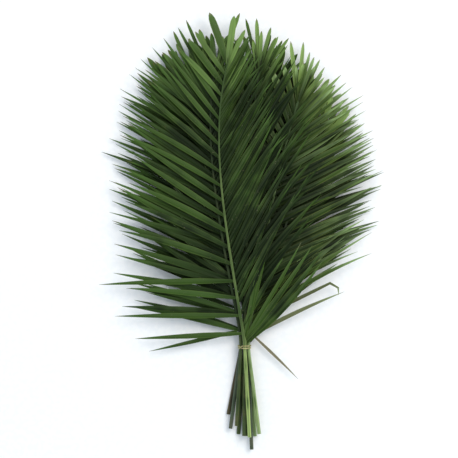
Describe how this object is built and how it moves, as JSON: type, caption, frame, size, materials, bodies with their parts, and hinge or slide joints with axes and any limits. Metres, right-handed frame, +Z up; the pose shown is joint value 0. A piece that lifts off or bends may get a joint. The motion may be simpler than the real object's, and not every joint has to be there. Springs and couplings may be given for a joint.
{
  "type": "tied bunch of feather palm fronds",
  "caption": "Flat bunch of cut feather palm fronds stacked in a fan, with narrow leaflets in two rows on each rachis and bare stems held by a double-wound elastic band.",
  "frame": {"origin": "on the resting surface, under the middle of the bounding box", "axes": "+Y from the cut stem ends to the leaf tips, +Z up from the surface that the bunch lies on, +X to the right seen from above"},
  "size_m": [0.391, 0.5994, 0.0513],
  "materials": {
    "frond": "living palm leaf, waxy satin green with lighter green rachis and stems",
    "tie": "natural rubber, pale yellow beige, dull"
  },
  "bodies": {
    "root": {"frond_01": "frond", "frond_02": "frond", "frond_03": "frond", "frond_04": "frond", "frond_05": "frond", "frond_06": "frond", "frond_07": "frond", "frond_08": "frond", "frond_09": "frond", "frond_10": "frond", "tie": "tie"}
  },
  "joints": []
}
